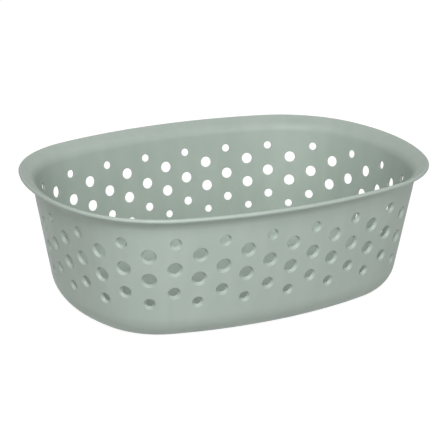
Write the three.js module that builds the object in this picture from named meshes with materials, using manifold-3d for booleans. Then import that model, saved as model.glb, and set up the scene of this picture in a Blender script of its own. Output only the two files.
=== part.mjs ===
// A shallow oval basket, moulded in one piece: a plain floor on a low foot ring, a wall that leans
// outwards and is pierced all round by staggered round holes, and a flared lip with a rounded edge.
// Millimetres, +Z up. The origin is under the middle of the basket, on the surface that it stands on.
// +X runs along the basket and +Y across it.

import * as THREE from "three";
import { mergeGeometries, mergeVertices } from "three/addons/utils/BufferGeometryUtils.js";
import Module from "manifold-3d";

// Overall size, over the outermost edge of the lip.
const rimLength = 280;
const rimWidth = 207.5;
const basketHeight = 91.3;

// Outline of that edge from above: one arc on each long side, one on each short end, and a corner
// arc between them. A bow is how far the arc stands out at its middle, over the box round the rim.
const longSideBow = 33.6;
const shortEndBow = 49.4;
const rimCornerRadius = 75;

// Wall. The fillet is the outer one, where the wall turns into the floor.
const wallThickness = 2.4;
const wallLeanDegrees = 10.26;
const baseFilletRadius = 21.9;

// Lip. Its reach runs from where the wall's inner face and the lip's would meet to the outermost
// edge, and its slope is measured up from level. The blend is the radius of the curve between the
// wall and the lip, on the outside.
const lipReach = 10.68;
const lipSlopeDegrees = 31;
const lipThickness = 2.6;
const lipEdgeRadius = 1.1;
const lipBlendRadius = 7;

// Floor, held off the surface below by a foot ring just inside the fillet.
const floorThickness = 2.4;
const footHeight = 1;
const footRingWidth = 6;
const footStepWidth = 1.2;

// Holes. Two kinds of column take turns round the wall. A bore is the diameter at the inner face, and
// each hole opens out by the flare, all round, towards the outer face. The top row hangs below where
// wall and lip would meet, and the bottom row stands above the fillet. The cutters overrun the outer
// face.
const holeColumns = 44;
const topRowDrop = 14.21;
const bottomRowRise = 11.07;
const topRowBore = 5.4;
const middleRowsBore = 7.6;
const fifthRowBore = 6;
const bottomRowBore = 5.2;
const holeFlare = 2;
const cutOverrun = 1;

// How far up each row sits, from the bottom row (0) to the top row (1).
const secondRowShare = 0.797;
const thirdRowShare = 0.575;
const fourthRowShare = 0.399;
const fifthRowShare = 0.176;

// How much of each column's pitch is one flat facet.
const facetShare = 0.73;

// How finely the curves are divided.
const holeSides = 12;
const filletSteps = 4;
const blendSteps = 4;
const edgeSteps = 2;

const plasticColour = 0xa9b7ac;
const plasticRoughness = 0.5;

const wasm = await Module();
wasm.setup();

const lean = THREE.MathUtils.degToRad(wallLeanDegrees);
const slope = THREE.MathUtils.degToRad(lipSlopeDegrees);
const quarterTurn = Math.PI / 2;

// The arc through the middle of one side, from its half chord and its bow.
function arcRadius(halfChord, bow) {
  return (halfChord * halfChord + bow * bow) / (2 * bow);
}

// The quarter outline: the two side arcs, centred on the axes, and the corner arc that touches both.
function quarterOutline() {
  const halfLength = rimLength / 2;
  const halfWidth = rimWidth / 2;
  const sideRadius = arcRadius(halfLength, longSideBow);
  const endRadius = arcRadius(halfWidth, shortEndBow);
  const cornerRadius = Math.min(rimCornerRadius, sideRadius, endRadius);
  const sideCentre = new THREE.Vector2(0, halfWidth - sideRadius);
  const endCentre = new THREE.Vector2(halfLength - endRadius, 0);
  const fromSide = sideRadius - cornerRadius;
  const fromEnd = endRadius - cornerRadius;
  const apart = sideCentre.distanceTo(endCentre);
  const along = (fromSide * fromSide - fromEnd * fromEnd + apart * apart) / (2 * apart);
  const across = Math.sqrt(Math.max(fromSide * fromSide - along * along, 0));
  const towards = endCentre.clone().sub(sideCentre).normalize();
  const outwards = new THREE.Vector2(-towards.y, towards.x);
  const cornerCentre = sideCentre
    .clone()
    .addScaledVector(towards, along)
    .addScaledVector(outwards, across * Math.sign(outwards.x + outwards.y));
  return {
    side: { centre: sideCentre, radius: sideRadius },
    end: { centre: endCentre, radius: endRadius },
    corner: { centre: cornerCentre, radius: cornerRadius },
    endAngle: cornerCentre.clone().sub(endCentre).angle(),
    sideAngle: cornerCentre.clone().sub(sideCentre).angle(),
  };
}

const outline = quarterOutline();

// The point of the outline whose outward direction is at this angle, moved outwards by offset, with
// its distance from the centre of its arc stretched.
function outlinePoint(angle, offset, stretch = 1) {
  const mirrorX = Math.cos(angle) < 0 ? -1 : 1;
  const mirrorY = Math.sin(angle) < 0 ? -1 : 1;
  const folded = Math.atan2(Math.abs(Math.sin(angle)), Math.abs(Math.cos(angle)));
  let arc = outline.corner;
  if (folded < outline.endAngle) arc = outline.end;
  if (folded > outline.sideAngle) arc = outline.side;
  const reach = (arc.radius + offset) * stretch;
  return new THREE.Vector2(
    mirrorX * (arc.centre.x + reach * Math.cos(folded)),
    mirrorY * (arc.centre.y + reach * Math.sin(folded)),
  );
}

// Length of a quarter of the outline that lies at offset, arc by arc from the end to the side.
function quarterLengths(offset) {
  return [
    (outline.end.radius + offset) * outline.endAngle,
    (outline.corner.radius + offset) * (outline.sideAngle - outline.endAngle),
    (outline.side.radius + offset) * (quarterTurn - outline.sideAngle),
  ];
}

// Outward angle at a share of the way round the outline that lies at offset, from +X.
function outlineAngle(roundShare, offset) {
  const lengths = quarterLengths(offset);
  const starts = [0, outline.endAngle, outline.sideAngle, quarterTurn];
  const quarter = lengths[0] + lengths[1] + lengths[2];
  const turns = THREE.MathUtils.euclideanModulo(roundShare, 1) * 4;
  const turn = Math.floor(turns);
  const forwards = turn % 2 === 0;
  let left = quarter * (forwards ? turns - turn : turn + 1 - turns);
  let arc = 0;
  while (arc < 2 && left > lengths[arc]) {
    left -= lengths[arc];
    arc += 1;
  }
  const angle = starts[arc] + ((starts[arc + 1] - starts[arc]) * left) / lengths[arc];
  return turn * quarterTurn + (forwards ? angle : quarterTurn - angle);
}

// Section of the shell. In it, x is the offset from the rim's outline and y is the height.
const acrossLip = new THREE.Vector2(-Math.sin(slope), Math.cos(slope));
const edgeSpan = lipThickness - 2 * lipEdgeRadius;
const innerEdge = new THREE.Vector2(
  -lipEdgeRadius + edgeSpan * acrossLip.x,
  basketHeight - lipEdgeRadius,
);
const outerEdge = innerEdge.clone().addScaledVector(acrossLip, -edgeSpan);
const lipTop = innerEdge.clone().addScaledVector(acrossLip, lipEdgeRadius);
const lipUnderside = outerEdge.clone().addScaledVector(acrossLip, -lipEdgeRadius);

// Where the straight inner wall and the straight lip would meet.
const innerBend = new THREE.Vector2(
  -lipReach,
  lipTop.y - (lipTop.x + lipReach) * Math.tan(slope),
);

// Offset of the inner and the outer face of the wall at a height.
function innerFace(height) {
  return innerBend.x + (height - innerBend.y) * Math.tan(lean);
}
function outerFace(height) {
  return innerFace(height) + wallThickness / Math.cos(lean);
}

// The same meeting point on the outside, on the straight underside of the lip.
function outerBendPoint() {
  const gap = outerFace(lipUnderside.y) - lipUnderside.x;
  const drop = gap / (1 / Math.tan(slope) - Math.tan(lean));
  return new THREE.Vector2(outerFace(lipUnderside.y + drop), lipUnderside.y + drop);
}
const outerBend = outerBendPoint();

// Centre of a blend of the given radius between the wall and the lip that meet at bend.
function blendCentre(bend, radius) {
  const tangent = radius * Math.tan((quarterTurn - lean - slope) / 2);
  return new THREE.Vector2(
    bend.x - tangent * Math.sin(lean) + radius * Math.cos(lean),
    bend.y - tangent * Math.cos(lean) - radius * Math.sin(lean),
  );
}

const floorTop = footHeight + floorThickness;
const innerFilletRadius = baseFilletRadius - wallThickness;
const outerFilletOffset = outerFace(baseFilletRadius) - baseFilletRadius / Math.cos(lean);
const innerFilletHeight = floorTop + innerFilletRadius;
const innerFilletOffset = innerFace(innerFilletHeight) - innerFilletRadius / Math.cos(lean);

// Points on an arc of the section, both ends included.
function arcPoints(centre, radius, start, end, steps) {
  return Array.from({ length: steps + 1 }, (_, index) => {
    const angle = start + ((end - start) * index) / steps;
    return new THREE.Vector2(
      centre.x + radius * Math.cos(angle),
      centre.y + radius * Math.sin(angle),
    );
  });
}

// From the edge of the floor's underside, up the outside, over the lip and down to the floor.
function sectionPoints() {
  const footInside = outerFilletOffset - footRingWidth;
  const outerFillet = new THREE.Vector2(outerFilletOffset, baseFilletRadius);
  const innerFillet = new THREE.Vector2(innerFilletOffset, innerFilletHeight);
  const innerBlendRadius = lipBlendRadius + wallThickness;
  const wallAngle = Math.PI - lean;
  const lipAngle = quarterTurn + slope;
  const outerBlend = blendCentre(outerBend, lipBlendRadius);
  const innerBlend = blendCentre(innerBend, innerBlendRadius);
  return [
    new THREE.Vector2(footInside - footStepWidth, footHeight),
    new THREE.Vector2(footInside, 0),
    ...arcPoints(outerFillet, baseFilletRadius, -quarterTurn, -lean, filletSteps),
    ...arcPoints(outerBlend, lipBlendRadius, wallAngle, lipAngle, blendSteps),
    ...arcPoints(outerEdge, lipEdgeRadius, slope - quarterTurn, slope, edgeSteps),
    ...arcPoints(innerEdge, lipEdgeRadius, slope, slope + quarterTurn, edgeSteps),
    ...arcPoints(innerBlend, innerBlendRadius, lipAngle, wallAngle, blendSteps),
    ...arcPoints(innerFillet, innerFilletRadius, -lean, -quarterTurn, filletSteps),
  ];
}

// A closed shell: the section carried round the outline, with the floor's two faces filled in.
function shellGeometry(section, corners) {
  const positions = [];
  const faces = [];
  const count = corners.length;
  for (const { x: offset, y: height } of section) {
    for (const { angle, stretch } of corners) {
      const point = outlinePoint(angle, offset, stretch);
      positions.push(point.x, point.y, height);
    }
  }
  const underside = section.length * count;
  const floor = underside + 1;
  positions.push(0, 0, section[0].y);
  positions.push(0, 0, section[section.length - 1].y);
  for (let step = 0; step < count; step += 1) {
    const next = (step + 1) % count;
    faces.push(underside, next, step);
    for (let ring = 0; ring < section.length - 1; ring += 1) {
      const low = ring * count;
      const high = low + count;
      faces.push(low + step, low + next, high + next);
      faces.push(low + step, high + next, high + step);
    }
    const last = (section.length - 1) * count;
    faces.push(floor, last + step, last + next);
  }
  const geometry = new THREE.BufferGeometry();
  geometry.setAttribute("position", new THREE.Float32BufferAttribute(positions, 3));
  geometry.setIndex(faces);
  return geometry;
}

// Height of a row's centres on the inner face, for its share of the way up.
function rowHeight(share) {
  const wallFoot = baseFilletRadius * (1 - Math.sin(lean));
  const bottom = wallFoot + bottomRowRise;
  const top = innerBend.y - topRowDrop;
  return bottom + (top - bottom) * share;
}

const oddRows = [
  { height: rowHeight(1), bore: topRowBore },
  { height: rowHeight(thirdRowShare), bore: middleRowsBore },
  { height: rowHeight(fifthRowShare), bore: fifthRowBore },
];
const evenRows = [
  { height: rowHeight(secondRowShare), bore: middleRowsBore },
  { height: rowHeight(fourthRowShare), bore: middleRowsBore },
  { height: rowHeight(0), bore: bottomRowBore },
];

// Outward angles of the hole columns, evenly spaced along the inner face halfway up the holes.
function columnAngle(column) {
  return outlineAngle(column / holeColumns, innerFace(rowHeight(1 / 2)));
}

// The shell's corners, seen from above. Each column of holes lies in the middle of one flat facet,
// which touches the smooth outline there, so the facet's own two corners stand out a little.
function facetCorners() {
  const corners = [];
  for (let column = 0; column < holeColumns; column += 1) {
    for (const side of [-1, 1]) {
      const angle = columnAngle(column + (side * facetShare) / 2);
      corners.push({ angle, stretch: 1 / Math.cos(angle - columnAngle(column)) });
    }
  }
  return corners;
}

// One cutter: a cone square to the wall, whose tip lies inside the basket.
function holeCutter(angle, row) {
  const widening = holeFlare / wallThickness;
  const tipDepth = row.bore / 2 / widening;
  const length = tipDepth + wallThickness + cutOverrun;
  const geometry = new THREE.ConeGeometry(length * widening, length, holeSides);
  const inwards = new THREE.Vector3(
    -Math.cos(lean) * Math.cos(angle),
    -Math.cos(lean) * Math.sin(angle),
    Math.sin(lean),
  );
  const point = outlinePoint(angle, innerFace(row.height));
  const middle = new THREE.Vector3(point.x, point.y, row.height);
  middle.addScaledVector(inwards, tipDepth - length / 2);
  const turn = new THREE.Quaternion();
  turn.setFromUnitVectors(new THREE.Vector3(0, 1, 0), inwards);
  geometry.applyQuaternion(turn);
  geometry.translate(middle.x, middle.y, middle.z);
  return geometry;
}

function holeCutters() {
  const cutters = [];
  for (let column = 0; column < holeColumns; column += 1) {
    for (const row of column % 2 === 0 ? oddRows : evenRows) {
      cutters.push(holeCutter(columnAngle(column), row));
    }
  }
  return mergeGeometries(cutters);
}

// The solid of a closed geometry, with the vertices that its faces share merged.
function solidOf(geometry) {
  geometry.deleteAttribute("normal");
  geometry.deleteAttribute("uv");
  const merged = mergeVertices(geometry);
  const mesh = new wasm.Mesh({
    numProp: 3,
    vertProperties: merged.attributes.position.array,
    triVerts: new Uint32Array(merged.index.array),
  });
  return new wasm.Manifold(mesh);
}

function geometryOf(solid) {
  const mesh = solid.getMesh();
  const geometry = new THREE.BufferGeometry();
  geometry.setAttribute("position", new THREE.BufferAttribute(mesh.vertProperties, 3));
  geometry.setIndex(new THREE.BufferAttribute(mesh.triVerts, 1));
  geometry.computeVertexNormals();
  return geometry;
}

function basketGeometry() {
  const shell = solidOf(shellGeometry(sectionPoints(), facetCorners()));
  return geometryOf(shell.subtract(solidOf(holeCutters())));
}

const plastic = new THREE.MeshStandardMaterial({
  color: plasticColour,
  roughness: plasticRoughness,
  metalness: 0,
});

const basket = new THREE.Mesh(basketGeometry(), plastic);
basket.name = "basket";

const model = new THREE.Group();
model.add(basket);

export default model;
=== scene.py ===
# A plastic basket with an oval rim: one moulded shell, its finish, and the studio round it.
# Sizes are in millimetres and degrees where they are typed, and the meshes are made in metres.

import math

import bpy
import numpy as np
from mathutils import Matrix, Vector


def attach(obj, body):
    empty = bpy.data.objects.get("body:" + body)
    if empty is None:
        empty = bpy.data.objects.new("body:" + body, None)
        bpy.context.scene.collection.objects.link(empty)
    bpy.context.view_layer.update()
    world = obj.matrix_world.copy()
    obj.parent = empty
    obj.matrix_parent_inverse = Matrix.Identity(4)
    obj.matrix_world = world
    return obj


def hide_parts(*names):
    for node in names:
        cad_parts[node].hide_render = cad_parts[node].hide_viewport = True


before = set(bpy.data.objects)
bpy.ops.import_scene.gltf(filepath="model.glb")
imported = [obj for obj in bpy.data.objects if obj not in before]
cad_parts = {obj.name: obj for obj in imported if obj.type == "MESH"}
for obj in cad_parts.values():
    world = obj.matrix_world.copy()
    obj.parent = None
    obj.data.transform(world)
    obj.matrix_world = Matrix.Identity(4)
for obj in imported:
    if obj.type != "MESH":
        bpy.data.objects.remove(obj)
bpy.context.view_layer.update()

mm = 0.001
quarterTurn = math.pi / 2

# The shell is one closed skin, with 8 quads round it for each of the 44 columns of holes.
shellSizes = {
    "rimLength": 279.98,  # a hair under the solid's, so that the round rim stays inside its box
    "rimWidth": 207.48,
    "height": 91.29,
    "longSideBow": 33.6,  # how far each arc of the rim stands out at its middle
    "shortEndBow": 49.4,
    "cornerRadius": 75.0,
    "wall": 2.4,
    "lean": 10.26,  # off upright
    "baseFillet": 21.9,
    "floor": 2.4,
    "footHeight": 1.0,
    "footRing": 6.0,
    "footStep": 1.6,
    "lipReach": 10.68,  # from the wall's inner face to the outermost edge
    "lipSlope": 31.0,  # up from level
    "lipThickness": 2.6,
    "lipEdge": 1.1,
    "lipBlend": 7.0,  # radius of the curve between the wall and the lip, on the outside
    "columns": 44,
    "quadsPerColumn": 8,
    "quadsPerRow": 4,
    "wallTop": 78.2,  # the pierced band lies between these two heights
    "wallFoot": 20.6,
    "rowHeights": [71.64, 63.0, 53.55, 46.06, 36.56, 29.07],
    "rowBores": [5.4, 7.6, 7.6, 7.6, 6.0, 5.2],
    "mouthDraft": 30.0,  # each hole is a cone that opens out to the outer face
    "mouthRound": 0.7,  # radius of its edge on the outer face
    "holeInnerRound": 0.3,
    "gateRadius": 5.5,  # dimple under the floor, where the plastic was let into the mould
    "gateStep": 1.2,
    "gateDepth": 0.5,
    "gateNub": 1.3,
    "gateNubHeight": 0.35,
}

# How many steps the skin takes round each curve, and the shares of the way across a flat stretch
# at which its other loops lie.
shellSteps = {
    "bendUnderLip": 6,
    "lipUnderside": 3,
    "lipEdge": 5,
    "lipTop": 4,
    "bendOverLip": 7,
    "outerFillet": 14,
    "footRing": 3,
    "footStep": 8,
    "innerFillet": 12,
    "gateStep": 6,
    "gateNub": 5,
    "mouthRound": 4,
    "holeInnerRound": 3,
    "outerCellShares": [0.6, 0.22, 0],
    "innerCellShares": [0, 0.3, 0.65],
    "floorShares": [0.2, 0.45, 0.7, 0.9],
}


def arcRadius(halfChord, bow):
    return (halfChord**2 + bow**2) / (2 * bow)


# The rim from above is four mirrored quarters, each of an end arc, a corner arc and a side arc.
def makeOutline(sizes):
    halfLength, halfWidth = sizes["rimLength"] / 2, sizes["rimWidth"] / 2
    sideRadius = arcRadius(halfLength, sizes["longSideBow"])
    endRadius = arcRadius(halfWidth, sizes["shortEndBow"])
    side = np.array([0, halfWidth - sideRadius])
    end = np.array([halfLength - endRadius, 0])
    fromSide, fromEnd = sideRadius - sizes["cornerRadius"], endRadius - sizes["cornerRadius"]
    apart = np.linalg.norm(end - side)
    along = (fromSide**2 - fromEnd**2 + apart**2) / (2 * apart)
    across = math.sqrt(fromSide**2 - along**2)
    towards = (end - side) / apart
    outwards = np.array([-towards[1], towards[0]])
    corner = side + along * towards + across * math.copysign(1, outwards.sum()) * outwards
    endAngle = math.atan2(*(corner - end)[::-1])
    sideAngle = math.atan2(*(corner - side)[::-1])
    radii = [endRadius, sizes["cornerRadius"], sideRadius]
    spans = [endAngle, sideAngle - endAngle, quarterTurn - sideAngle]
    laps = 6  # half turns, three times round, so that an angle may run past a full turn
    spans = np.array((spans + spans[::-1]) * laps)
    allRadii = np.array((radii + radii[::-1]) * laps)
    angles = np.concatenate([[0], np.cumsum(spans)]) - 2 * math.pi
    lengths = np.concatenate([[0], np.cumsum(allRadii * spans)])
    return {
        "centres": np.array([end, corner, side]),
        "radii": np.array(radii),
        "joins": np.array([endAngle, sideAngle]),
        "lapRadii": allRadii,
        "lapAngles": angles,
        "lapLengths": lengths - np.interp(0, angles, lengths),
    }


outline = makeOutline(shellSizes)


# Points whose outward direction is at these angles, moved outwards by offset.
def outlinePoints(angle, offset):
    folded = np.arctan2(abs(np.sin(angle)), abs(np.cos(angle)))
    arc = np.searchsorted(outline["joins"], folded)
    reach = outline["radii"][arc] + offset
    x = outline["centres"][arc, 0] + reach * np.cos(folded)
    y = outline["centres"][arc, 1] + reach * np.sin(folded)
    return x * np.sign(np.cos(angle)), y * np.sign(np.sin(angle))


# Length of the outline at an offset, from +X round to an angle.
def lengthTo(angle, offset):
    return np.interp(angle, outline["lapAngles"], outline["lapLengths"]) + offset * angle


def bendRadius(angle, offset):
    return outline["lapRadii"][np.searchsorted(outline["lapAngles"], angle) - 1] + offset


# The angle that is a short distance further along the outline at an offset.
def angleBeside(start, distance, offset):
    target = lengthTo(start, offset) + distance
    angle = start + distance / bendRadius(start, offset)
    for _ in range(4):  # each pass comes much closer, so four are plenty
        angle = angle - (lengthTo(angle, offset) - target) / bendRadius(angle, offset)
    return angle


# Angles that divide the outline at an offset into equal lengths, from +X round.
def evenAngles(count, offset):
    lengths = lengthTo(outline["lapAngles"], offset)
    step = lengthTo(2 * math.pi, offset) / count
    return np.interp(step * np.arange(count), lengths, outline["lapAngles"])


# Points on an arc of the section: offset from the rim's outline, height, and tilt of the normal.
def sectionArc(centre, radius, start, end, steps, hollow=False):
    return [
        (
            centre[0] + radius * math.cos(turn),
            centre[1] + radius * math.sin(turn),
            turn - math.pi if hollow else turn,
        )
        for turn in np.linspace(start, end, steps + 1)
    ]


# Points on a straight run of the section, without its ends.
def sectionRun(a, b, steps):
    return [tuple(x + (y - x) * k / steps for x, y in zip(a, b)) for k in range(1, steps)]


# An underside that rises in an S while it goes inwards.
def sectionRise(start, height, width, rise, steps):
    shares = [k / steps for k in range(steps + 1)]
    return [
        (
            start - width * k,
            height + rise * (1 - math.cos(math.pi * k)) / 2,
            -quarterTurn - math.atan(rise * quarterTurn / width * math.sin(math.pi * k)),
        )
        for k in shares
    ]


def makeSection(sizes, steps):
    lean, slope = math.radians(sizes["lean"]), math.radians(sizes["lipSlope"])
    acrossLip = np.array([-math.sin(slope), math.cos(slope)])
    span = sizes["lipThickness"] - 2 * sizes["lipEdge"]
    innerEdge = np.array([
        -sizes["lipEdge"] + span * acrossLip[0], sizes["height"] - sizes["lipEdge"]
    ])
    outerEdge = innerEdge - span * acrossLip
    lipTop = innerEdge + sizes["lipEdge"] * acrossLip
    lipUnder = outerEdge - sizes["lipEdge"] * acrossLip
    innerBend = np.array([
        -sizes["lipReach"], lipTop[1] - (lipTop[0] + sizes["lipReach"]) * math.tan(slope)
    ])

    def innerFace(height):
        return innerBend[0] + (height - innerBend[1]) * math.tan(lean)

    def outerFace(height):
        return innerFace(height) + sizes["wall"] / math.cos(lean)

    def blendCentre(bend, radius):
        tangent = radius * math.tan((quarterTurn - lean - slope) / 2)
        return bend + np.array([
            radius * math.cos(lean) - tangent * math.sin(lean),
            -radius * math.sin(lean) - tangent * math.cos(lean),
        ])

    drop = (outerFace(lipUnder[1]) - lipUnder[0]) / (1 / math.tan(slope) - math.tan(lean))
    outerBend = np.array([outerFace(lipUnder[1] + drop), lipUnder[1] + drop])
    outerBlend, innerBlend = sizes["lipBlend"], sizes["lipBlend"] + sizes["wall"]
    wallTurn, lipTurn = math.pi - lean, quarterTurn + slope
    lip = sectionArc(
        blendCentre(outerBend, outerBlend), outerBlend, wallTurn, lipTurn, steps["bendUnderLip"],
        hollow=True,
    )
    edge = sectionArc(outerEdge, sizes["lipEdge"], slope - quarterTurn, slope, steps["lipEdge"])
    edge += sectionArc(innerEdge, sizes["lipEdge"], slope, slope + quarterTurn, steps["lipEdge"])
    top = sectionArc(
        blendCentre(innerBend, innerBlend), innerBlend, lipTurn, wallTurn, steps["bendOverLip"]
    )
    lip += sectionRun(lip[-1], edge[0], steps["lipUnderside"]) + edge
    lip += sectionRun(edge[-1], top[0], steps["lipTop"]) + top

    outerFillet, innerFillet = sizes["baseFillet"], sizes["baseFillet"] - sizes["wall"]
    outerOffset = outerFace(outerFillet) - outerFillet / math.cos(lean)
    foot = sectionArc(
        (outerOffset, outerFillet), outerFillet, -lean, -quarterTurn, steps["outerFillet"]
    )
    ringEdge = outerOffset - sizes["footRing"]
    foot += sectionRun(foot[-1], (ringEdge, 0, -quarterTurn), steps["footRing"])
    foot += sectionRise(ringEdge, 0, sizes["footStep"], sizes["footHeight"], steps["footStep"])

    floorTop = sizes["footHeight"] + sizes["floor"]
    innerCentre = floorTop + innerFillet
    innerOffset = innerFace(innerCentre) - innerFillet / math.cos(lean)
    inside = sectionArc(
        (innerOffset, innerCentre), innerFillet, -lean, -quarterTurn, steps["innerFillet"],
        hollow=True,
    )
    return {"lean": lean, "innerFace": innerFace, "lip": lip, "foot": foot, "inside": inside}


section = makeSection(shellSizes, shellSteps)

# The skin's points and outward normals in batches, and its faces as rows of point numbers.
skin = {"points": [], "normals": [], "faces": []}


def addPoints(x, y, z, normal):
    first = sum(len(batch) for batch in skin["points"])
    x, y, z = np.broadcast_arrays(x, y, z)
    skin["points"].append(np.stack([x, y, z], -1).reshape(-1, 3))
    skin["normals"].append(np.broadcast_to(normal, x.shape + (3,)).reshape(-1, 3))
    return first + np.arange(x.size).reshape(x.shape)


# A band of quads between two closed loops. The loops run to the right when the second is above.
def bridge(low, high):
    quads = [low, np.roll(low, -1), np.roll(high, -1), high]
    skin["faces"] += np.stack(quads, -1).tolist()


def bridgeAll(loops, downwards=False):
    for a, b in zip(loops, loops[1:]):
        if downwards:
            a, b = b, a
        bridge(a, b)


# Outward, sideways and upward directions of the wall at each angle.
def wallAxes(angle):
    none = 0 * angle
    level = np.stack([np.cos(angle), np.sin(angle), none], -1)
    sideways = np.stack([-np.sin(angle), np.cos(angle), none], -1)
    upright = np.array([0, 0, 1])
    cosLean, sinLean = math.cos(section["lean"]), math.sin(section["lean"])
    return cosLean * level - sinLean * upright, sideways, sinLean * level + cosLean * upright


def wallOffset(height, depth):
    return section["innerFace"](height) + depth * math.cos(section["lean"])


# A place in the wall: its angle, its height on the inner face, and how deep it lies from there.
def wallPlace(angle, height, depth):
    x, y = outlinePoints(angle, wallOffset(height, depth))
    return x, y, height - depth * math.sin(section["lean"])


# Loops of one hole, from the edge of its cell on the outer face to that on the inner face.
def buildHole(sizes, steps, centre, row, outerCell, innerCell, cellAngles, cellHeights):
    height, bore = sizes["rowHeights"][row], sizes["rowBores"][row] / 2
    draft = math.radians(sizes["mouthDraft"])
    roundOut, roundIn = sizes["mouthRound"], sizes["holeInnerRound"]
    turn = 2 * math.pi * np.arange(len(outerCell)) / len(outerCell)
    cosLean = math.cos(section["lean"])

    def loop(across, up, deep, lift, inwards):
        foot = height + up * cosLean
        angle = angleBeside(centre + 0 * across, across, wallOffset(foot, deep))
        outward, sideways, upward = wallAxes(angle)
        radial = np.cos(turn)[:, None] * sideways + np.sin(turn)[:, None] * upward
        normal = (lift * outward - inwards * radial) / math.hypot(lift, inwards)
        return addPoints(*wallPlace(angle, foot, deep), normal)

    def circle(radius, deep, lift, inwards):
        return loop(radius * np.cos(turn), radius * np.sin(turn), deep, lift, inwards)

    def spread(radius, deep, lift, shares):  # from the circle (0) towards the cell's edge (1)
        offset = wallOffset(cellHeights, deep)
        across = lengthTo(cellAngles, offset) - lengthTo(centre, offset)
        up = (cellHeights - height) / cosLean
        return [
            loop(
                radius * np.cos(turn) * (1 - k) + across * k,
                radius * np.sin(turn) * (1 - k) + up * k,
                deep, lift, 0,
            )
            for k in shares
        ]

    tangent = math.tan(draft)
    coneFoot = bore + roundIn * (1 - math.cos(draft)), roundIn * (1 + math.sin(draft))
    mouth = coneFoot[0] + (sizes["wall"] - coneFoot[1]) * tangent
    mouth += roundOut * math.tan((quarterTurn - draft) / 2)
    loops = [outerCell] + spread(mouth, sizes["wall"], 1, steps["outerCellShares"])
    for a in np.linspace(0, quarterTurn - draft, steps["mouthRound"] + 1)[1:]:
        loops.append(circle(
            mouth - roundOut * math.sin(a), sizes["wall"] - roundOut * (1 - math.cos(a)),
            math.cos(a), math.sin(a),
        ))
    for a in np.linspace(quarterTurn - draft, math.pi, steps["holeInnerRound"] + 1)[:-1]:
        loops.append(circle(
            bore + roundIn * (1 - math.sin(a)), roundIn * (1 + math.cos(a)),
            math.cos(a), math.sin(a),
        ))
    loops += spread(bore + roundIn, 0, -1, steps["innerCellShares"])
    bridgeAll(loops + [innerCell])


# The pierced band. Each hole has a cell one column wide, from the row above it to the row below.
def buildWall(sizes, steps, angles):
    perColumn, perRow = sizes["quadsPerColumn"], sizes["quadsPerRow"]
    half = perColumn // 2
    stops = [sizes["wallTop"], *sizes["rowHeights"], sizes["wallFoot"]]
    heights = np.interp(np.arange(len(stops) * perRow - perRow + 1) / perRow,
                        np.arange(len(stops)), stops)
    angle, height = np.meshgrid(angles, heights)
    outward = wallAxes(angle)[0]
    outer = addPoints(*wallPlace(angle, height, sizes["wall"]), outward)
    inner = addPoints(*wallPlace(angle, height, 0), -outward)

    # the way round a cell's edge, anticlockwise from the middle of its right side
    right = [(half, k) for k in range(half)]
    over = [(k, half) for k in range(half, -half, -1)]
    left = [(-half, k) for k in range(half, -half, -1)]
    below = [(k, -half) for k in range(-half, half)]
    edge = np.array(right + over + left + below + [(half, k) for k in range(-half, 0)])

    for column in range(sizes["columns"]):
        middle = column * perColumn
        for row in range(column % 2, len(sizes["rowHeights"]), 2):
            levels = perRow * (row + 1) - edge[:, 1]
            around = (middle + edge[:, 0]) % len(angles)
            turned = angles[around]
            turned = turned + 2 * math.pi * np.round((angles[middle] - turned) / (2 * math.pi))
            buildHole(
                sizes, steps, angles[middle], row, outer[levels, around], inner[levels, around],
                turned, heights[levels],
            )
        # the plain quads of the column, above its first hole or below its last one
        top = 0 if column % 2 else len(heights) - 1 - perRow
        around = (middle + np.arange(-half, half + 1)) % len(angles)
        for level in range(top, top + perRow):
            for a, b in zip(around, around[1:]):
                corners = [level + 1, level + 1, level, level], [a, b, b, a]
                skin["faces"].append(outer[corners].tolist())
                skin["faces"].append(inner[corners].tolist()[::-1])
    return outer, inner


# The section's points carried round the outline.
def sweep(angles, points, radial=False):
    loops = []
    for distance, height, tilt in points:
        if radial:  # a circle round the middle of the floor, of radius distance
            x, y = distance * np.cos(angles), distance * np.sin(angles)
        else:
            x, y = outlinePoints(angles, distance)
        facing = [math.cos(tilt) * np.cos(angles), math.cos(tilt) * np.sin(angles)]
        loops.append(addPoints(x, y, height, np.stack(facing + [0 * angles + math.sin(tilt)], -1)))
    return loops


# Loops across a flat floor, from the outline at an offset to a circle.
def flatLoops(angles, offset, height, radius, facing, shares):
    x, y = outlinePoints(angles, offset)
    return [
        addPoints(
            x + (radius * np.cos(angles) - x) * k, y + (radius * np.sin(angles) - y) * k, height,
            np.array([0, 0, facing]),
        )
        for k in shares
    ]


def closeWith(loop, height, facing):
    middle = int(addPoints(np.zeros(1), 0, height, np.array([0, 0, facing]))[0])
    pairs = zip(loop.tolist(), np.roll(loop, -1).tolist())
    skin["faces"] += [[a, b, middle] if facing > 0 else [b, a, middle] for a, b in pairs]


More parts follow.
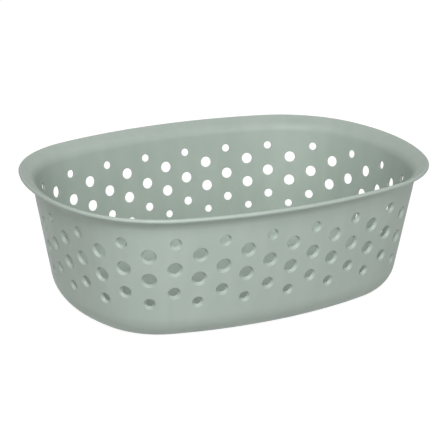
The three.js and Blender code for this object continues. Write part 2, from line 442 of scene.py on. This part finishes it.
def buildShell(sizes, steps):
    midHeight = (sizes["rowHeights"][0] + sizes["rowHeights"][-1]) / 2
    angles = evenAngles(sizes["columns"] * sizes["quadsPerColumn"], section["innerFace"](midHeight))
    outer, inner = buildWall(sizes, steps, angles)
    bridgeAll([outer[0]] + sweep(angles, section["lip"]) + [inner[0]])

    # outside, below the holes: fillet, foot ring, raised underside and the gate's dimple
    offset, height, _ = section["foot"][-1]
    loops = [outer[-1]] + sweep(angles, section["foot"])
    loops += flatLoops(angles, offset, height, sizes["gateRadius"], -1, steps["floorShares"])
    dimple = sectionRise(
        sizes["gateRadius"], height, sizes["gateStep"], sizes["gateDepth"], steps["gateStep"]
    )
    for k in np.linspace(1, 0, steps["gateNub"] + 1)[:-1]:  # the nub is a small mound
        steepness = sizes["gateNubHeight"] * quarterTurn / sizes["gateNub"] * math.sin(math.pi * k)
        drop = sizes["gateNubHeight"] * (1 + math.cos(math.pi * k)) / 2
        dimple.append((
            sizes["gateNub"] * k,
            height + sizes["gateDepth"] - drop,
            math.atan(steepness) - quarterTurn,
        ))
    loops += sweep(angles, dimple, radial=True)
    bridgeAll(loops, downwards=True)
    closeWith(loops[-1], height + sizes["gateDepth"] - sizes["gateNubHeight"], -1)

    # inside, from the holes down to the middle of the floor
    offset, height, _ = section["inside"][-1]
    loops = [inner[-1]] + sweep(angles, section["inside"])
    loops += flatLoops(angles, offset, height, sizes["gateRadius"], 1, steps["floorShares"] + [1])
    bridgeAll(loops)
    closeWith(loops[-1], height, 1)


# The skin as a mesh. Points of the band's grid that lie inside a hole's cell are left out.
def skinObject(name):
    points, normals = np.concatenate(skin["points"]), np.concatenate(skin["normals"])
    used = np.zeros(len(points), bool)
    used[[corner for face in skin["faces"] for corner in face]] = True
    number = np.cumsum(used) - 1
    faces = [[int(number[corner]) for corner in face] for face in skin["faces"]]
    mesh = bpy.data.meshes.new(name)
    mesh.from_pydata((points[used] * mm).tolist(), [], faces)
    mesh.shade_smooth()
    mesh.normals_split_custom_set_from_vertices(normals[used].tolist())
    made = bpy.data.objects.new(name, mesh)
    bpy.context.scene.collection.objects.link(made)
    return made


buildShell(shellSizes, shellSteps)
basketShell = skinObject("basket_shell")
print("shell built,", len(basketShell.data.vertices), "points,",
      len(basketShell.data.polygons), "faces")


def hexToLinear(text):
    parts = [int(text[k:k + 2], 16) / 255 for k in (1, 3, 5)]
    return [c / 12.92 if c <= 0.04045 else ((c + 0.055) / 1.055) ** 2.4 for c in parts] + [1]


# Adds a node. A setting goes to the socket of that name or number, or else to the node itself.
def addNode(tree, kind, settings=None, links=None):
    node = tree.nodes.new(kind)
    for key, value in (settings or {}).items():
        if isinstance(key, int) or key in node.inputs:
            node.inputs[key].default_value = value
        else:
            setattr(node, key, value)
    for key, source in (links or {}).items():
        tree.links.new(source, node.inputs[key])
    return node


def newMaterial(name):
    material = bpy.data.materials.new(name)
    material.use_nodes = True
    material.node_tree.nodes.clear()
    return material, material.node_tree


plasticFinish = {
    "colour": "#A3B0A7",
    "paleColour": "#A9B5AC",  # where the pigment is mixed in a little thinner
    "scuffColour": "#BBC3BC",  # rubbed plastic turns paler
    "ior": 1.49,
    "roughness": 0.5,
    "roughnessSpread": 0.07,
    "cloudSize": 38.0,  # width of the patches where the pigment or the gloss changes
    "flowSize": 9.0,  # width of the faint streaks that the flowing plastic left, all upwards
    "flowStretch": 6.0,
    "pigmentRange": [0.75, 1.25],  # of the clouds and streaks added up, from full to thin pigment
    "glossRange": [0.3, 0.7],  # of the clouds, from the glossiest to the dullest
    "grainSize": 1.1,  # the mould's spark-eroded grain is about 0.2 mm, too fine for the picture
    "grainHeight": 0.02,
    "scuffSize": 2.2,
    "scuffRange": [0.48, 0.62],  # of the spots' noise, from untouched to rubbed
    "scuffShare": 0.35,
    "scuffDulling": 0.5,
    "scuffDepth": 1.2,  # how far down from the lip's top, and up from the ground, scuffs reach
}


# Polypropylene, injection moulded in a finely grained steel mould: satin, with a soft broad glow
# on the curves, a barely clouded sage colour, and paler rubbed spots on the lip and the foot.
def makePlastic(finish):
    material, tree = newMaterial("mouldedPolypropylene")
    place = addNode(tree, "ShaderNodeTexCoord").outputs["Object"]
    perMetre = 1 / mm

    clouds = addNode(tree, "ShaderNodeTexNoise", {
        "Scale": perMetre / finish["cloudSize"], "Detail": 2.0, "Roughness": 0.5,
    }, {"Vector": place})
    squeezed = addNode(tree, "ShaderNodeMapping", {
        "Scale": (1, 1, 1 / finish["flowStretch"]),
    }, {"Vector": place})
    flow = addNode(tree, "ShaderNodeTexNoise", {
        "Scale": perMetre / finish["flowSize"], "Detail": 1.0, "Roughness": 0.4,
    }, {"Vector": squeezed.outputs[0]})
    shade = addNode(tree, "ShaderNodeMath", {"operation": "ADD"}, {
        0: clouds.outputs["Fac"], 1: flow.outputs["Fac"],
    })
    thinner = addNode(tree, "ShaderNodeMapRange", {
        "From Min": finish["pigmentRange"][0], "From Max": finish["pigmentRange"][1],
    }, {"Value": shade.outputs[0]})
    tint = addNode(tree, "ShaderNodeMix", {"data_type": "RGBA"}, {0: thinner.outputs[0]})
    tint.inputs[6].default_value = hexToLinear(finish["colour"])
    tint.inputs[7].default_value = hexToLinear(finish["paleColour"])

    # scuffs, on the top of the lip and on the foot ring
    height = addNode(tree, "ShaderNodeSeparateXYZ", {}, {0: place}).outputs[2]
    nearTop = addNode(tree, "ShaderNodeMapRange", {
        "From Min": (shellSizes["height"] - finish["scuffDepth"]) * mm,
        "From Max": shellSizes["height"] * mm,
    }, {"Value": height})
    nearGround = addNode(tree, "ShaderNodeMapRange", {
        "From Min": finish["scuffDepth"] * mm, "From Max": 0.0,
    }, {"Value": height})
    exposed = addNode(tree, "ShaderNodeMath", {"operation": "MAXIMUM"}, {
        0: nearTop.outputs[0], 1: nearGround.outputs[0],
    })
    spots = addNode(tree, "ShaderNodeTexNoise", {
        "Scale": perMetre / finish["scuffSize"], "Detail": 4.0, "Roughness": 0.65,
    }, {"Vector": place})
    rubbed = addNode(tree, "ShaderNodeMapRange", {
        "From Min": finish["scuffRange"][0], "From Max": finish["scuffRange"][1],
        "To Max": finish["scuffShare"],
    }, {"Value": spots.outputs["Fac"]})
    scuffed = addNode(tree, "ShaderNodeMath", {"operation": "MULTIPLY"}, {
        0: exposed.outputs[0], 1: rubbed.outputs[0],
    })
    worn = addNode(tree, "ShaderNodeMix", {"data_type": "RGBA"}, {0: scuffed.outputs[0]})
    worn.inputs[7].default_value = hexToLinear(finish["scuffColour"])
    tree.links.new(tint.outputs[2], worn.inputs[6])

    gloss = addNode(tree, "ShaderNodeMapRange", {
        "From Min": finish["glossRange"][0], "From Max": finish["glossRange"][1],
        "To Min": finish["roughness"] - finish["roughnessSpread"],
        "To Max": finish["roughness"] + finish["roughnessSpread"],
    }, {"Value": clouds.outputs["Fac"]})
    duller = addNode(tree, "ShaderNodeMath", {
        "operation": "MULTIPLY_ADD", 1: finish["scuffDulling"],
    }, {
        0: scuffed.outputs[0], 2: gloss.outputs[0],
    })

    grain = addNode(tree, "ShaderNodeTexNoise", {
        "Scale": perMetre / finish["grainSize"], "Detail": 2.0, "Roughness": 0.6,
    }, {"Vector": place})
    bump = addNode(tree, "ShaderNodeBump", {
        "Strength": 1.0, "Distance": finish["grainHeight"] * mm,
    }, {"Height": grain.outputs["Fac"]})

    shader = addNode(tree, "ShaderNodeBsdfPrincipled", {"IOR": finish["ior"]}, {
        "Base Color": worn.outputs[2],
        "Roughness": duller.outputs[0],
        "Normal": bump.outputs[0],
    })
    addNode(tree, "ShaderNodeOutputMaterial", links={"Surface": shader.outputs[0]})
    return material


basketShell.data.materials.append(makePlastic(plasticFinish))
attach(basketShell, "root")
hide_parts("basket")
print("finish made")


# 1 for what the camera sees, straight, mirrored or through something clear, and 0 for other light.
def seenOrMirrored(tree):
    path = addNode(tree, "ShaderNodeLightPath")
    seen = path.outputs["Is Camera Ray"]
    for kind in ("Is Glossy Ray", "Is Transmission Ray"):
        either = addNode(tree, "ShaderNodeMath", {"operation": "MAXIMUM"}, {
            0: seen, 1: path.outputs[kind],
        })
        seen = either.outputs[0]
    return seen


studioFloor = {
    "colour": "#B8B8B8",
    "reach": 6000,
    "glow": 0.93,  # what the camera sees is this bright in full shadow
    "shade": 0.25,  # and the lamps add to it with this paint, which keeps the shadow
}


# Painted studio floor: matt and pale. The camera sees it close to white, with the basket's shadow.
def makeFloor(floor):
    size = floor["reach"] * mm
    mesh = bpy.data.meshes.new("studio_floor")
    mesh.from_pydata([(-size, -size, 0), (size, -size, 0), (size, size, 0), (-size, size, 0)],
                     [], [(0, 1, 2, 3)])
    made = bpy.data.objects.new("studio_floor", mesh)
    bpy.context.scene.collection.objects.link(made)
    material, tree = newMaterial("mattFloorPaint")
    paint = addNode(tree, "ShaderNodeBsdfDiffuse", {"Color": hexToLinear(floor["colour"])})
    faint = addNode(tree, "ShaderNodeBsdfDiffuse", {"Color": [floor["shade"]] * 3 + [1]})
    glow = addNode(tree, "ShaderNodeEmission", {"Color": [1, 1, 1, 1], "Strength": floor["glow"]})
    seen = addNode(tree, "ShaderNodeAddShader")
    tree.links.new(faint.outputs[0], seen.inputs[0])
    tree.links.new(glow.outputs[0], seen.inputs[1])
    mixed = addNode(tree, "ShaderNodeMixShader", links={0: seenOrMirrored(tree)})
    tree.links.new(paint.outputs[0], mixed.inputs[1])
    tree.links.new(seen.outputs[0], mixed.inputs[2])
    addNode(tree, "ShaderNodeOutputMaterial", links={"Surface": mixed.outputs[0]})
    mesh.materials.append(material)
    return made


makeFloor(studioFloor)

# Softboxes aimed at the basket, from a direction given as turn (0 is -Y, 90 is +X) and rise.
softboxes = {
    "keySoftbox": {"turn": -29, "rise": 40, "away": 1600, "size": [700, 700], "watts": 12.6},
    "lowSoftbox": {"turn": -29, "rise": 10, "away": 1600, "size": [700, 700], "watts": 3.8},
    "frontSoftbox": {"turn": 0, "rise": 28, "away": 1600, "size": [700, 700], "watts": 6.5},
    "leftSoftbox": {"turn": -60, "rise": 30, "away": 1600, "size": [700, 700], "watts": 2.3},
    "rightSoftbox": {"turn": 90, "rise": 60, "away": 1600, "size": [700, 700], "watts": 1.9},
    "backSoftbox": {"turn": -110, "rise": 53, "away": 1600, "size": [700, 700], "watts": 3.3},
}
aimHeight = 45  # the middle of the basket


def addSoftbox(name, box):
    light = bpy.data.lights.new(name, "AREA")
    light.shape = "RECTANGLE"
    light.size, light.size_y = box["size"][0] * mm, box["size"][1] * mm
    light.energy = box["watts"]
    made = bpy.data.objects.new(name, light)
    turn, rise = math.radians(box["turn"]), math.radians(box["rise"])
    back = Vector((
        math.sin(turn) * math.cos(rise), -math.cos(turn) * math.cos(rise), math.sin(rise)
    ))
    made.location = Vector((0, 0, aimHeight * mm)) + back * box["away"] * mm
    made.rotation_mode = "QUATERNION"
    made.rotation_quaternion = back.to_track_quat("Z", "Y")
    bpy.context.scene.collection.objects.link(made)


for name, box in softboxes.items():
    addSoftbox(name, box)

roomLight = {"colour": "#FFFFFF", "strength": 0.11}


# The room lights the basket evenly, and looks white to the camera.
def makeRoom(room):
    world = bpy.data.worlds.new("studioRoom")
    bpy.context.scene.world = world
    world.use_nodes = True
    tree = world.node_tree
    tree.nodes.clear()
    lit = addNode(tree, "ShaderNodeBackground", {
        "Color": hexToLinear(room["colour"]), "Strength": room["strength"],
    })
    white = addNode(tree, "ShaderNodeBackground", {"Color": [1, 1, 1, 1], "Strength": 1})
    mixed = addNode(tree, "ShaderNodeMixShader", links={0: seenOrMirrored(tree)})
    tree.links.new(lit.outputs[0], mixed.inputs[1])
    tree.links.new(white.outputs[0], mixed.inputs[2])
    addNode(tree, "ShaderNodeOutputWorld", links={"Surface": mixed.outputs[0]})


makeRoom(roomLight)
print("studio set")

photoView = {
    "turn": 29.05,  # how far the camera stands round from -Y towards -X
    "rise": 19.13,
    "roll": 0.75,
    "distance": 1209.9,
    "targetHeight": 47.85,
    "lens": 142.01,
    "shift": [-0.00217, -0.0028],
    "clip": [50, 50000],
}


def placeCamera(view):
    data = bpy.data.cameras.new("photoCamera")
    data.lens = view["lens"]
    data.shift_x, data.shift_y = view["shift"]
    data.clip_start, data.clip_end = (distance * mm for distance in view["clip"])
    made = bpy.data.objects.new("photoCamera", data)
    turn, rise, roll = (math.radians(view[k]) for k in ("turn", "rise", "roll"))
    back = Vector((
        -math.sin(turn) * math.cos(rise), -math.cos(turn) * math.cos(rise), math.sin(rise)
    ))
    right = Vector((math.cos(turn), -math.sin(turn), 0))
    up = back.cross(right)
    side = math.cos(roll) * right + math.sin(roll) * up
    top = math.cos(roll) * up - math.sin(roll) * right
    made.matrix_world = Matrix.Translation(
        Vector((0, 0, view["targetHeight"] * mm)) + back * view["distance"] * mm
    ) @ Matrix((side, top, back)).transposed().to_4x4()
    bpy.context.scene.collection.objects.link(made)
    bpy.context.scene.camera = made


placeCamera(photoView)
bpy.context.scene.view_settings.view_transform = "Standard"
print("camera placed")
